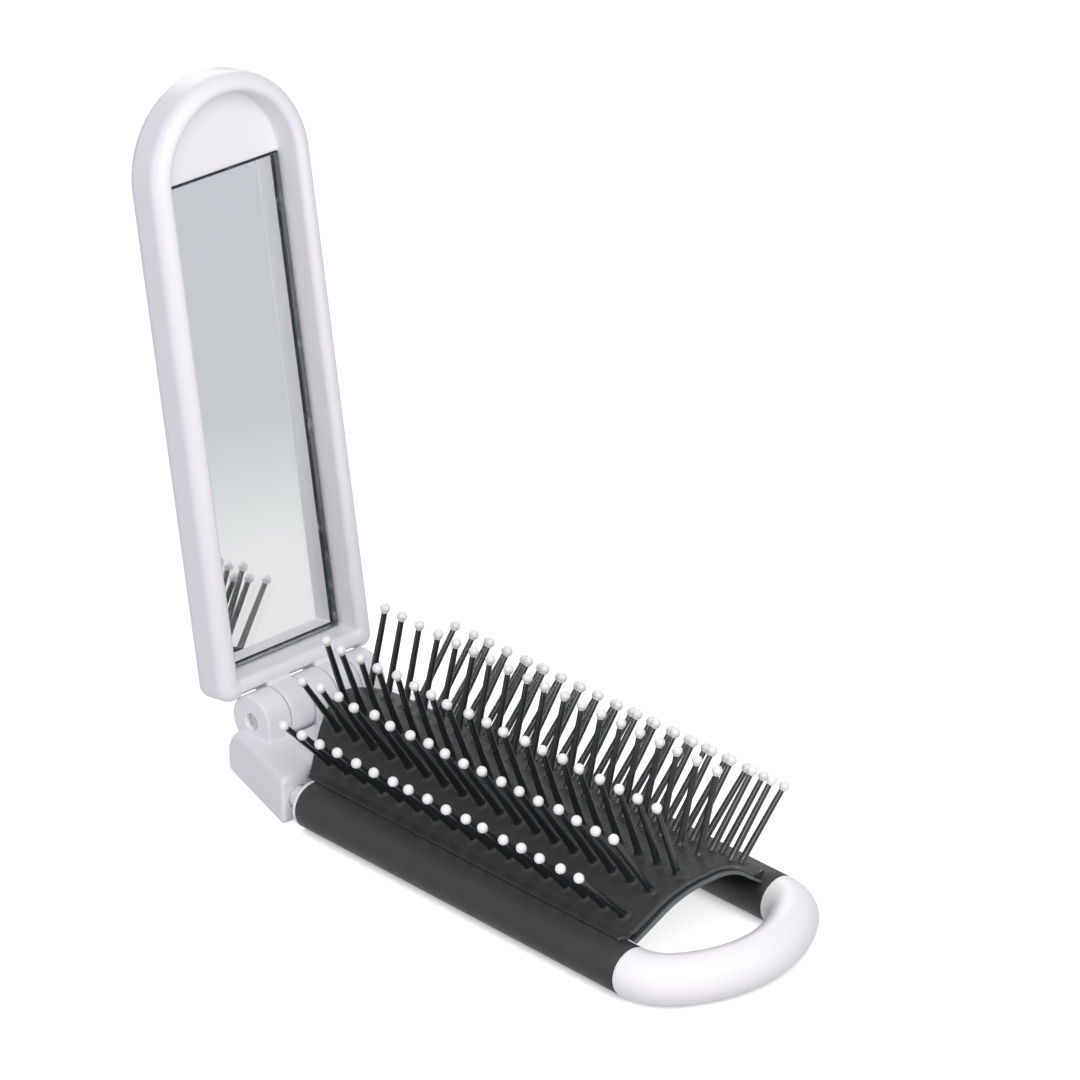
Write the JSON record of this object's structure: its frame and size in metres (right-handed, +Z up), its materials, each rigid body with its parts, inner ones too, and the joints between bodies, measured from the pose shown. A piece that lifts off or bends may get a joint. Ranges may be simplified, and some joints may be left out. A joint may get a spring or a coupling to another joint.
{
  "type": "folding hairbrush with mirror",
  "caption": "Folding pocket hairbrush: ball-tipped bristles on an arched bed between two rails with a finger loop, and a hinged lid with a mirror inside.",
  "frame": {"origin": "on the table plane in the brush's middle plane, near the hinge block's rear end and 5.6 mm behind the hinge axis", "axes": "+X from the hinge towards the finger loop, +Y across the brush along the hinge axis, +Z up"},
  "size_m": [0.1376, 0.0473, 0.1196],
  "materials": {
    "white_plastic": "white, semi-gloss",
    "black_plastic": "black, satin",
    "black_skin": "black, satin",
    "bristle": "black, satin",
    "tip": "white, smooth",
    "steel": "ground",
    "adhesive": "soft foam tape",
    "mirror": "polished glass, silvered behind, ground edges"
  },
  "bodies": {
    "brush": {"hinge_block": "white_plastic", "loop_frame": "white_plastic", "grip_sleeve_left": "black_plastic", "grip_sleeve_right": "black_plastic", "bed_skin": "black_skin", "pin_carrier": "black_plastic", "bristle_row_1": "bristle", "bristle_row_2": "bristle", "bristle_row_3": "bristle", "bristle_row_4": "bristle", "bristle_row_5": "bristle", "bristle_row_6": "bristle", "tip_row_1": "tip", "tip_row_2": "tip", "tip_row_3": "tip", "tip_row_4": "tip", "tip_row_5": "tip", "tip_row_6": "tip", "hinge_pin": "steel"},
    "lid": {"lid_shell": "white_plastic", "mirror_adhesive": "adhesive", "mirror_glass": "mirror"}
  },
  "joints": [
    {"name": "lid_hinge", "type": "hinge", "parent": "brush", "child": "lid", "pos_m": [0.0056, 0, 0.01085], "axis": [0, 1, 0], "range_deg": [-50, 45]}
  ]
}
